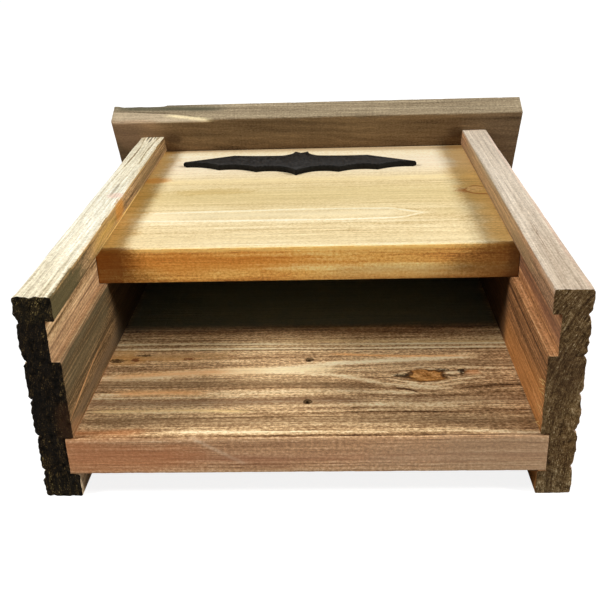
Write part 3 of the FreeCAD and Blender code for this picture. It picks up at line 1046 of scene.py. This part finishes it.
backLook = {
    "meshSeed": 31, "seed": 5.7, "pith": (-0.20, -0.16), "taper": 0.004,
    "wave": 3 * mm, "waveLength": 0.5, "ripple": 1.2 * mm, "ringWidth": 4.4 * mm,
    "strength": {"broad": 0.32, "medium": 0.24, "fine": 0.42, "fibre": 0.22, "saw": 0.06, "grit": 0.56,
                 "cloud": 0.16, "late": 0.04},
    "tones": palette((84, 56, 34), (138, 104, 68), (186, 148, 106), (240, 205, 154), (255, 238, 196)),
    "otherTones": palette((112, 76, 50), (174, 126, 86), (198, 150, 108), (222, 172, 126), (244, 208, 164)),
    "knotTones": palette((52, 32, 14), (134, 84, 36), (206, 142, 72), (234, 176, 104), (250, 210, 150)),
    # arris and topArris: the rounded edges lighter, worn edge and painted highlight
    "zones": {"near": (0.22, 1.0), "arris": (0.1, 0.5), "topArris": (0.2, 0.6)},
    "knots": [
        {"at": onBoard(lowerBox, (87, 79.6))[0], "size": (14 * mm, 9.5 * mm),
         "part": 0.7, "push": 0.3, "rim": 0.45, "heart": 0.3, "spread": 2.4},
    ],
    "marks": [
        onBack(1.1, (-158, 136), (-73, 134.4), (32, 131.4), (158, 131), tone=0.5),
        onBack(1.6, (-20, 138), (60, 136), (158, 133), tint=golden, share=0.5),
        onBack(1.2, (-158, 126.7), (-73, 126.1), (32, 124.6), (158, 124), tone=0.42),
        onBack(0.8, (-158, 123.6), (0, 122.6), (158, 121), tone=-0.24),
        onBack(6, (-158, 115), (0, 113), (60, 114), (158, 117), tone=-0.12),
        onBack(1.8, (20, 115), (75, 110.5), (120, 110), tint=orange, share=0.7),
        onBack(4.2, (-158, 81), (-118, 83.2), (-93, 88.2), (-35, 90.4), (-3, 95), (31, 101.3), (85, 106.2),
               (125, 110), tone=0.5, patchy=1.2),
        onBack(4.5, (-150, 81), (-93, 88), (-35, 90), tint=orange, share=0.7, patchy=0.8),
        onBack(5, (-60, 90), (20, 91), tint=(255, 232, 182), share=0.7, patchy=0.8),
        onBack(3.2, (-60, 90), (-3, 86), (31, 79.2), (57, 67.7), (81, 62.3), (110, 60), tone=0.34,
               patchy=1.2),
        onBack(2.4, (-25, 92), (20, 91), (62, 87), tone=0.12),
        onBack(1.0, (40, 77), (60, 77.5), (79, 79), tone=-0.5, patchy=5.0, frayed=5),
        onBack(0.9, (60, 79), (70, 84), (88, 90), (104, 88), (122, 82), tone=0.3),
        onBack(1.0, (60, 76), (72, 71), (90, 69), (110, 74), (130, 78), tone=0.3),
        onBack(0.7, (112, 78.5), (130, 78), (158, 79), tone=-0.24, patchy=4.0),
        onBack(0.7, (98, 84), (104, 87.5), (112, 87.5), (118, 85), tone=-0.6, soft=4, patchy=0.5, frayed=4),
        onBack(0.7, (100, 82), (108, 80.5), (118, 84), tone=-0.6, soft=4, patchy=0.5, frayed=4),
        onBack(1.3, (102, 84), (110, 84), tone=0.45, soft=4, patchy=0.5),
        onBack(1.5, (70, 90), (88, 93.5), (110, 92), (150, 90), tone=0.2),
        onBack(1.6, (70, 69), (90, 64.5), (112, 69), (158, 70), tone=0.22),
        onBack(1.0, (64, 63), (72, 60.5), (79, 56), tone=-0.7, soft=4, patchy=6.0, frayed=6),
        onBack(6.5, (-158, 72), (-60, 72), (0, 70), (40, 62), tint=greyWood, share=0.55, patchy=0.6),
        onBack(5, (60, 98), (158, 97), tint=greyWood, share=0.4, patchy=0.6),
        onBack(3.0, (-158, 54), (-120, 58.4), (-60, 57.5), (0, 58.8), (31, 58.5), (80, 56), tone=0.32),
        onBack(3.6, (-138, 58.5), (-100, 59), (-74, 58.2), tint=(246, 182, 114), share=0.8, patchy=0.8),
        onBack(0.6, (-158, 51.5), (-80, 52.5), (0, 52), tone=0.25),
        onBack(5, (-158, 45), (-60, 45), (0, 47), (40, 46), tint=purple, share=0.75, patchy=0.6),
        onBack(5, (60, 47), (158, 45), tint=purple, share=0.35, patchy=0.6),
        onBack(0.8, (80, 52), (158, 50.5), tone=-0.24, patchy=4.0),
        onBack(1.8, (-150, 34), (-100, 34.5), (-40, 33), tint=golden, share=0.7, patchy=4.0),
        onBack(1.4, (-158, 33.9), (0, 32), (79, 34.3), (110, 34), tone=0.25),
        onBack(0.8, (30, 31), (79, 30.4), (113, 29.2), (158, 27.8), tone=-0.26, patchy=4.0),
        # a neutral darker band across the whole board about 136 mm in: painted shade at the front panel's
        # shadow edge
        onBack(15, (-158, 136), (158, 136), tint=(208, 206, 200), share=1.0, patchy=0.2, blend="MULTIPLY"),
        onBack(6, (-158, 22), (-60, 21), (0, 20), (158, 20), tint=greyWood, share=0.45, patchy=0.8),
        onBack(1.0, (-158, 26), (-40, 27), tone=0.16),
        onBack(2.2, (-90, 7.9), (30, 6.2), (87, 7.3), (158, 3.2), tone=0.4, patchy=1.0),
        onBack(4, (-158, 7), (-110, 8), tint=(216, 140, 84), share=0.6),
        onBack(0.9, (-158, 1.8), (158, 1.6), tone=-0.22),
        # everything deeper than about 162 mm darker and greyer: painted shade of the box's inside
        onBack(-10, (-158, 162), (158, 162), tint=(104, 120, 116), share=0.95, below=True, patchy=0.2),
        onBack(7, (-158, 113), (-120, 112), (-60, 114), tint=(208, 164, 108), share=0.6),
        mark(0.6, (0, 9), (160, 7), (317, 8.5), tone=-0.3, **nearEdge),
        mark(5, (0, 18), (100, 14), (150, 6), tint=(168, 112, 78), share=0.4, **nearEdge),
        mark(1.5, (84, 28), (90, 24.4), (112, 11.3), (118, 8), tone=0.2, tint=(232, 198, 164), share=0.4,
             soft=4, patchy=0.6, **nearEdge),
        mark(4, (0, 13), (150, 12), (317, 13), tint=(202, 138, 100), share=0.4, **nearEdge),
    ],
    "stainsAndShades": [
        *(spot((x, y, 28), (wide, high, 5), colour, share, broken=broken, ragged=0.8, box=lowerBox)
          for x, y, wide, high, colour, share, broken in backFlecks),
        spot((0, 0, 12), (90, 9, 16), (206, 128, 76), 0.5),
        spot((317, 0, 12), (110, 9, 18), (184, 150, 116), 0.6),
    ],
    "end": {
        "tones": palette((20, 14, 8), (60, 44, 26), (110, 84, 54), (160, 128, 88), (210, 176, 130)),
        "crumbs": 0.8, "strokes": 0.5, "specks": 0.1, "hollow": 0.3,
    },
    "shade": 0.5, "sawn": 0.3, "ringRelief": 0.15, "relief": 0.3 * mm, "shine": 0.15,
}

backFinish = (Timber("back_timber_wood", backLook).dress(), "back_timber")
bores = [(holes["x"] - lowerBox[0].x, height, holes["radius"]) for height in holes["along"]]
makePlank(
    "back_lower_board", boxSize(lowerBox), levelPlace(lowerBox),
    {"radius": 1 * mm, "step": 2.4 * mm, "wear": 0.25 * mm, "bores": bores, "look": backLook},
    backFinish, [makeHoleCutter(height) for height in holes["along"]],
)
upperWidth = boxSize(upperBox)[1]
upperLook = {**backLook, "seed": 14.2, "meshSeed": 37, "knots": [], "marks": [], "stainsAndShades": []}
makePlank(
    "back_upper_board", boxSize(upperBox), levelPlace(upperBox),
    {"radius": 0.6 * mm, "step": 4 * mm, "wear": 0.2 * mm, "look": upperLook,
     "topAt": lambda depth: upperWidth - depth * math.tan(roofSlope)},
    (Timber("back_upper_wood", upperLook).dress(), "back_timber"),
)
print("back boards made")


# Front panel: one clean pale board, amber along its lower edge; its ends, under the lips, golden and darker
# with painted shade and painted warm bounce light

def onFront(half, *points, **rest):
    return mark(half, *points, box=frontBox, **rest)


knotLine = {"patchy": 0.5, "ragged": 0.5, "frayed": 1.2}      # the crisp lines of the small knot

frontLook = {
    "meshSeed": 41, "seed": 9.2, "pith": (0.0735, -0.03), "taper": 0.006,
    "wave": 2.5 * mm, "waveLength": 0.5, "ripple": 0.9 * mm, "ringWidth": 6.0 * mm,
    "strength": {"broad": 0.12, "medium": 0.17, "fine": 0.32, "fibre": 0.2, "saw": 0.06, "grit": 0.42,
                 "cloud": 0.16, "late": 0.03},
    "tones": palette((178, 146, 94), (220, 192, 136), (240, 216, 165), (253, 234, 188), (255, 250, 222)),
    "otherTones": palette((84, 42, 8), (168, 100, 30), (226, 152, 62), (250, 194, 98), (255, 226, 150)),
    "knotTones": palette((110, 66, 26), (180, 126, 62), (226, 178, 106), (240, 200, 134), (250, 216, 160)),
    # arris and topArris: the rounded edges lighter, worn edge and painted highlight
    "zones": {"near": (0.0, 1.0), "arris": (0.1, 0.9), "topArris": (0.5, 0.8)},
    "knots": [
        {"at": onBoard(frontBox, (144.7, 258.4))[0], "size": (8 * mm, 9 * mm),
         "part": 0.6, "push": 0.6, "rim": 0.1, "heart": 0.0, "spread": 2.6},
    ],
    "marks": [
        # lighter towards the roof: painted light making up for the roof's shade
        onFront(44, (-158, 375), (158, 375), tone=0.3, patchy=0.0),
        # a darker tan strip where the panel runs under the roof: painted contact shade
        onFront(8, (-158, 409), (0, 406), (158, 401), tint=(180, 148, 106), share=0.85, patchy=0.4),
        onFront(34, (-158, 250), (0, 252), (158, 250), tint=(226, 202, 142), share=0.75, patchy=0.4),
        onFront(9, (104, 200), (158, 204), tint=(222, 198, 142), share=0.6, soft=8, patchy=0.8),
        onFront(1.4, (133, 252), (139, 262), (146, 267.5), (153, 264), tint=(172, 98, 32), share=0.9,
                soft=3, **knotLine),
        onFront(1.5, (134, 257), (139, 248.5), (145, 245), (154, 243), tint=(164, 90, 28), share=0.9,
                soft=3, **knotLine),
        onFront(0.8, (141, 258), (145, 262), (150, 258), tint=(164, 100, 42), share=0.8, soft=2, **knotLine),
        onFront(8, (-158, 297), (0, 297), (158, 299), tint=(254, 230, 170), share=0.7, patchy=0.4),
        # a paler wash towards the roof: painted light making up for the roof's shade
        onFront(34, (-158, 350), (158, 350), tint=(255, 236, 206), share=0.7, patchy=0.4),
        onFront(1.0, (-158, 288), (-60, 287), (158, 287), tone=-0.14),
        onFront(1.8, (-158, 205), (-60, 210), (0, 211), (66, 210), (92, 199), tone=0.45, patchy=1.0),
        onFront(1.6, (-158, 188), (-60, 186), (40, 185), (76, 188), (94, 198), tone=0.4, patchy=1.0),
        onFront(0.8, (-100, 214), (0, 215), (66, 214), (96, 203), tone=-0.22, patchy=1.0),
        onFront(0.8, (-100, 182), (0, 181), (70, 183), (98, 194), tone=-0.18, patchy=1.0),
        onFront(1.2, (97, 212.6), (127, 211), (134, 200), tone=0.16),
        onFront(1.2, (134, 200), (126, 190), (111, 182), tone=0.14),
        onFront(8, (-158, 198), (0, 199), (74, 198), tint=(252, 234, 190), share=0.8, patchy=0.5),
        onFront(1.0, (-158, 172), (-110, 180), (-60, 183), (20, 180), (158, 178), tone=0.2),
        onFront(0.7, (-158, 170), (0, 172), (158, 170), tone=-0.14),
        onFront(1.0, (-158, 156), (0, 158), (158, 156), tone=-0.12),
        onFront(12, (-158, 140), (0, 142), (158, 140), tint=(244, 222, 172), share=0.4, patchy=0.5),
        onFront(1.0, (40, 129), (150, 129), tone=0.2),
        mark(0.5, (0, 24), (150, 23.5), (317, 24), tone=-0.12, **nearEdge),
        mark(0.7, (0, 20), (150, 19), (317, 20.5), tone=-0.1, **nearEdge),
        mark(0.7, (0, 14), (150, 15), (317, 14), tone=-0.1, **nearEdge),
        # golden line on the top arris: worn edge and painted highlight
        mark(1.4, (0, 25.8), (317, 25.8), tint=(255, 206, 116), share=0.85, patchy=2.0, **nearEdge),
        mark(6, (0, 8), (317, 8), tone=0.16, **nearEdge),
        mark(30, (150, 14), (260, 14), tone=0.22, soft=40, patchy=0.0, **nearEdge),
    ],
    "stainsAndShades": [
        # the ends under the lips darker and warmer: painted shade and painted warm bounce light from the
        # lips
        spot((0, 140, 28), (25, 400, 14), (232, 204, 150), 1.0, ragged=0.2, blend="MULTIPLY"),
        spot((317.6, 140, 28), (30, 400, 14), (244, 220, 176), 1.0, ragged=0.2, blend="MULTIPLY"),
        spot((-145, 303, 28), (16, 11, 6), (228, 152, 62), 0.65, box=frontBox),
        spot((-85, 264, 28), (38, 10, 5), (204, 172, 100), 0.5, ragged=1.6, broken=1.5, box=frontBox),
        spot((134, 255, 28), (9, 8, 5), (176, 112, 46), 0.7, broken=1.5, box=frontBox),
        spot((270, 0, 3), (110, 3, 9), (200, 156, 96), 0.45),
        spot((70, 0, 16), (120, 3, 9), (222, 134, 40), 0.5),
        # the next three: the near edge darker towards both ends, painted shade of the side boards
        spot((0, 0, 14), (34, 5, 40), (120, 68, 22), 0.8),
        spot((320, 0, 14), (48, 5, 40), (132, 84, 36), 0.75),
        spot((320, 0, 14), (16, 5, 40), (84, 52, 24), 0.7),
    ],
    "end": {
        "tones": palette((40, 26, 10), (110, 78, 40), (160, 122, 70), (200, 166, 110), (230, 200, 150)),
        "crumbs": 0.6, "strokes": 0.4, "specks": 0.1, "hollow": 0.3,
    },
    "shade": 0.35, "sawn": 0.15, "ringRelief": 0.1, "relief": 0.16 * mm, "shine": 0.15,
}

makePlank(
    "front_panel", boxSize(frontBox), levelPlace(frontBox),
    {"radius": 1 * mm, "step": 2.6 * mm, "wear": 0.16 * mm, "look": frontLook},
    (Timber("front_timber_wood", frontLook).dress(), "front_timber"),
)


# Roof: a weathered board, sloping, its lower edge split at the left

roof = {
    "thickness": 25 * mm, "width": 184 * mm, "overhang": 21.5 * mm, "sideFront": 402 * mm,
    "split": (5 * mm, 99 * mm), "splitHeight": 15 * mm, "splitDeep": 2.0 * mm,
    "splitStart": 4 * mm, "splitAcross": 9 * mm,
    "chip": (4 * mm, 55 * mm), "chipDeep": 2.2 * mm, "chipEnds": (5 * mm, 3 * mm),
    "chipAcross": 10 * mm, "chipDown": 7 * mm, "chipWaves": 9 * mm, "chipSeed": 71,
}
roofEdge = {"onDepth": True, "face": (-1 * mm, 3 * mm)}      # a face that marks keep to

roofLook = {
    "meshSeed": 53, "seed": 2.3, "pith": (0.05, -0.16), "taper": 0.01,
    "wave": 4 * mm, "waveLength": 0.5, "ripple": 1.4 * mm, "ringWidth": 4.0 * mm,
    "strength": {"broad": 0.18, "medium": 0.24, "fine": 0.3, "fibre": 0.2, "saw": 0.1, "grit": 0.34,
                 "cloud": 0.2, "late": 0.04},
    "tones": palette((92, 76, 56), (137, 120, 94), (158, 141, 113), (182, 164, 134), (222, 206, 178)),
    "otherTones": palette((62, 46, 30), (110, 88, 62), (124, 101, 73), (138, 114, 83), (164, 140, 106)),
    "zones": {"under": (0.0, 1.0), "arris": (-0.08, 0.3)},
    "marks": [
        mark(0.5, (0, 15), (34, 12.5), (66, 8.5), (86, 4.2), (99, 0), tone=0.16, tint=(196, 176, 146),
             share=0.75, below=True, soft=5, patchy=0.8, **roofEdge),
        mark(1.8, (58, 7.5), (80, 4), (99, 0.5), tint=(248, 230, 184), share=0.9, soft=9, patchy=0.8,
             **roofEdge),
        mark(4.5, (0, 21), (60, 19), (110, 17), tint=(84, 82, 64), share=0.9, soft=20, patchy=0.8,
             **roofEdge),
        mark(0.7, (0, 15.6), (34, 13.2), (66, 9.4), (90, 4.4), tone=-0.3, patchy=0.8, **roofEdge),
        mark(4, (70, 7), (200, 9), (415, 8), tone=-0.1, face=(-1 * mm, 2 * mm)),
        mark(2, (0, 17), (200, 16), (415, 17), tone=-0.12, **roofEdge),
    ],
    "stainsAndShades": [
        spot((22, 16, 0), (34, 24, 5), (168, 134, 102), 0.6),
        # the next two: darker patches on the underside beside the right and the left lip, painted shade
        spot((350, 24, 0), (10, 9, 3), (78, 60, 42), 0.6),
        spot((60, 25, 0), (9, 6, 3), (70, 52, 36), 0.6),
    ],
    "end": {
        "tones": palette((30, 22, 14), (72, 56, 38), (110, 90, 64), (150, 128, 96), (190, 168, 132)),
        "crumbs": 0.9, "strokes": 0.6, "specks": 0.2, "hollow": 0.3,
    },
    "shade": 0.8, "sawn": 0.3, "ringRelief": 0.15, "relief": 0.3 * mm, "shine": 0.12,
}


# The split along the lower arris and the chip along the upper one, both at the left
def splitRoof(points):
    along, across, depth = points.T
    first, last = roof["split"]
    start = np.clip((along - first + roof["splitStart"]) / roof["splitStart"], 0, 1)
    height = np.sqrt(np.clip((last - along) / (last - first), 0, 1)) * start * roof["splitHeight"]
    cut = roof["splitDeep"] * np.clip(1 - depth / np.maximum(height, 0.01 * mm), 0, 1)
    reach = roof["splitAcross"]
    across = np.where(across < reach, cut + across * (1 - cut / reach), across)
    (first, last), (opens, closes) = roof["chip"], roof["chipEnds"]
    window = np.clip((along - first) / opens, 0, 1) * np.clip((last - along) / closes, 0, 1)
    ragged = 0.6 + 0.6 * rough(points, roof["chipWaves"], roof["chipSeed"], 2)
    low = roof["chipDeep"] * window * ragged * np.clip(1 - across / roof["chipAcross"], 0, 1)
    down = roof["chipDown"]
    depth = depth - low * np.clip((depth - roof["thickness"] + down) / down, 0, 1)
    return np.column_stack([along, across, depth])


def makeRoof():
    upSlope = Vector((0, math.sin(roofSlope), -math.cos(roofSlope)))
    outward = Vector((0, math.cos(roofSlope), math.sin(roofSlope)))
    corner = Vector((roofBox[0].x, openEnd + roof["sideFront"], sideDepth)) - upSlope * roof["overhang"]
    size = (roofBox[1].x - roofBox[0].x, roof["width"], roof["thickness"])
    place = {"origin": tuple(corner), "axes": ((1, 0, 0), tuple(upSlope), tuple(outward))}
    build = {"radius": 1.2 * mm, "step": 2.8 * mm, "wear": 0.18 * mm, "look": roofLook, "shape": splitRoof}
    finish = (Timber("roof_timber_wood", roofLook).dress(), "roof_timber")
    makePlank("roof_board", size, place, build, finish)


makeRoof()
print("panel and roof made")


# Silhouette: cut from thin board, its arrises softened by the black paint

plaque = {
    "steps": ((0.0, 0.9), (0.05, 0.4), (0.14, 0.12), (0.26, 0.0)),  # in from the edge, down from the face
    "corner": 0.7 * mm,                                             # least length of a side of the outline
    "tipReach": 3.2 * mm, "tipRound": 1.9 * mm,                     # the blunt ends of the wings
}


# The outline of a node's top face, in order
def topOutline(node):
    body = bmesh.new()
    body.from_mesh(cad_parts[node].data)
    bmesh.ops.remove_doubles(body, verts=body.verts, dist=0.05 * mm)
    after = {}
    for face in body.faces:
        if face.normal.z > 0.9:
            for loop in face.loops:
                if any(other.normal.z < 0.5 for other in loop.edge.link_faces):
                    after[loop.vert.index] = loop.link_loop_next.vert.index
    start = min(after)
    order = [start]
    while after[order[-1]] != start:
        order.append(after[order[-1]])
    body.verts.ensure_lookup_table()
    outline = [body.verts[index].co.copy() for index in order]
    body.free()
    kept = [outline[0]]
    for point in outline[1:]:
        if (point - kept[-1]).length > plaque["corner"] and (point - kept[0]).length > plaque["corner"]:
            kept.append(point)
    return kept


def makePlaque(paint):
    outline = topOutline("bat_plaque")
    count = len(outline)
    inwards = []
    for number, point in enumerate(outline):
        ahead = (outline[(number + 1) % count] - point).normalized()
        behind = (point - outline[number - 1]).normalized()
        way = ahead + behind
        way = way.normalized() if way.length > 0.2 else ahead
        inwards.append(Vector((-way.y, way.x, 0)))
    low, high = plaqueBox[0].z, plaqueBox[1].z
    tips = plaqueBox[0].x, plaqueBox[1].x

    def tipRound(point):
        off = min(point.x - tips[0], tips[1] - point.x) / plaque["tipReach"]
        return plaque["tipRound"] * max(0.0, 1 - off) ** 2

    body = bmesh.new()
    rings = [[body.verts.new((point.x, point.y, low + tipRound(point))) for point in outline]]
    for inset, down in plaque["steps"]:
        rings.append([body.verts.new((
            point.x + way.x * inset * mm, point.y + way.y * inset * mm, high - down * mm - tipRound(point),
        )) for point, way in zip(outline, inwards)])
    for face in skin(body, rings):
        face.smooth = True
    mesh = meshOf("bat_plaque", body)
    piece = addObject("painted_silhouette", mesh)
    mesh.materials.append(paint)
    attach(piece, "root")
    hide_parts("bat_plaque")


def paintFinish():
    black = Shader(bpy.data.materials.new("black paint"))
    along, across, depth = black.parts(black.node("TexCoord", output="Object"))
    grain = black.noise(black.vector(along * 420.0, across * 260.0, depth * 500.0), 3.0, 0.7)
    cloud = black.noise(black.vector(along * 60.0, across * 110.0, depth * 110.0), 3.0)
    colour = black.mix((0.38 + grain * 4.6 + cloud * 1.4).clamped(), tint(6, 6, 6), tint(44, 42, 40))
    # the silhouette's sides darker than its face: painted shade
    side = depth.rise(plaqueBox[1].z - 0.4 * mm, plaqueBox[1].z - 1.0 * mm)
    colour = black.mix(side * 0.7, colour, tint(5, 5, 6))
    roughness = (0.5 + grain * 0.4 + cloud * 0.3).clamped()
    black.finish(colour, roughness, black.bump(grain + cloud, 0.12 * mm), 0.12)
    return black.owner


blackPaint = paintFinish()
makePlaque(blackPaint)


# Nails and pins keep the shape they have; the pins' heads are painted over

def nailFinish():
    steel = Shader(bpy.data.materials.new("nail steel"))
    along, across, depth = steel.parts(steel.node("TexCoord", output="Object"))
    stained = steel.noise(steel.vector(along * 300.0, across * 300.0, depth * 300.0), 3.0)
    grain = steel.noise(steel.vector(along * 1500.0, across * 1500.0, depth * 1500.0))
    colour = steel.mix(stained.rise(-0.1, 0.15), tint(158, 156, 150), tint(112, 92, 74))
    steel.finish(colour, (0.5 + stained * 0.4).clamped(), steel.bump(grain, 0.05 * mm), 0.5)
    steel.surface.inputs["Metallic"].default_value = 0.9
    return steel.owner


nailSteel = nailFinish()
for node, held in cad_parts.items():
    if "nails" in node or node == "plaque_pins":
        held.data.materials.clear()
        held.data.materials.append(blackPaint if node == "plaque_pins" else nailSteel)
print("fasteners and silhouette finished")


# Floor, lamps and world

studio = {
    "aim": (0, -0.05, 0.1), "distance": 1.7, "size": 0.42,
    "leftWay": (-1.1, -0.44, 1.0), "rightWay": (1.55, -0.46, 1.0),
    "leftLevel": 0.74, "rightLevel": 0.88, "world": 0.07,
    "floorBounce": 0.5, "floorShown": 0.3, "floorLift": 0.86, "floorGlow": (0.5, 1.1),
}


# A lamp that gives a white surface that faces it the asked level
def makeLamp(name, way, level):
    lamp = addObject(name, bpy.data.lights.new(name, "AREA"))
    away = Vector(way).normalized() * studio["distance"]
    lamp.location = Vector(studio["aim"]) + away
    lamp.rotation_mode = "QUATERNION"
    lamp.rotation_quaternion = (-away).to_track_quat("-Z", "Y")
    lamp.data.size = studio["size"]
    lamp.data.energy = math.pi ** 2 * studio["distance"] ** 2 * level


def makeFloor():
    mesh = bpy.data.meshes.new("floor")
    reach = 6.0
    corners = [(-reach, -reach, 0), (reach, -reach, 0), (reach, reach, 0), (-reach, reach, 0)]
    mesh.from_pydata(corners, [], [(0, 1, 2, 3)])
    floor = addObject("floor", mesh)
    pale = Shader(bpy.data.materials.new("pale floor"))
    pale.tree.nodes.remove(pale.surface)
    place = pale.node("TexCoord", output="Object")
    away = pale.node("VectorMath", {"operation": "LENGTH"}, {0: place}, output="Value")
    lift = studio["floorLift"] + away.rise(*studio["floorGlow"]) * (1 - studio["floorLift"])
    plain = pale.node("BsdfDiffuse", inputs={"Color": [studio["floorBounce"]] * 3})
    shown = pale.node("BsdfDiffuse", inputs={"Color": [studio["floorShown"]] * 3})
    glow = pale.node("Emission", inputs={"Color": (1.0, 1.0, 1.0), "Strength": lift})
    lifted = pale.node("AddShader", inputs={0: shown, 1: glow})
    seen = pale.node("LightPath", output="Is Camera Ray")
    mixed = pale.node("MixShader", inputs={0: seen, 1: plain, 2: lifted})
    pale.feed(pale.tree.nodes["Material Output"].inputs["Surface"], mixed)
    mesh.materials.append(pale.owner)


def makeWorld():
    sky = Shader(bpy.data.worlds.new("studio"))
    light = sky.node("Background", inputs={"Color": (1.0, 1.0, 1.0), "Strength": studio["world"]})
    backdrop = sky.node("Background", inputs={"Color": (1.0, 1.0, 1.0), "Strength": 1.0})
    seen = sky.node("LightPath", output="Is Camera Ray")
    for other in ("Is Glossy Ray", "Is Transmission Ray"):
        seen = seen.most(sky.node("LightPath", output=other))
    mixed = sky.node("MixShader", inputs={0: seen, 1: light, 2: backdrop})
    sky.feed(sky.tree.nodes["World Output"].inputs["Surface"], mixed)
    bpy.context.scene.world = sky.owner


makeLamp("leftLamp", studio["leftWay"], studio["leftLevel"])
makeLamp("rightLamp", studio["rightWay"], studio["rightLevel"])
makeFloor()
makeWorld()
print("studio set")
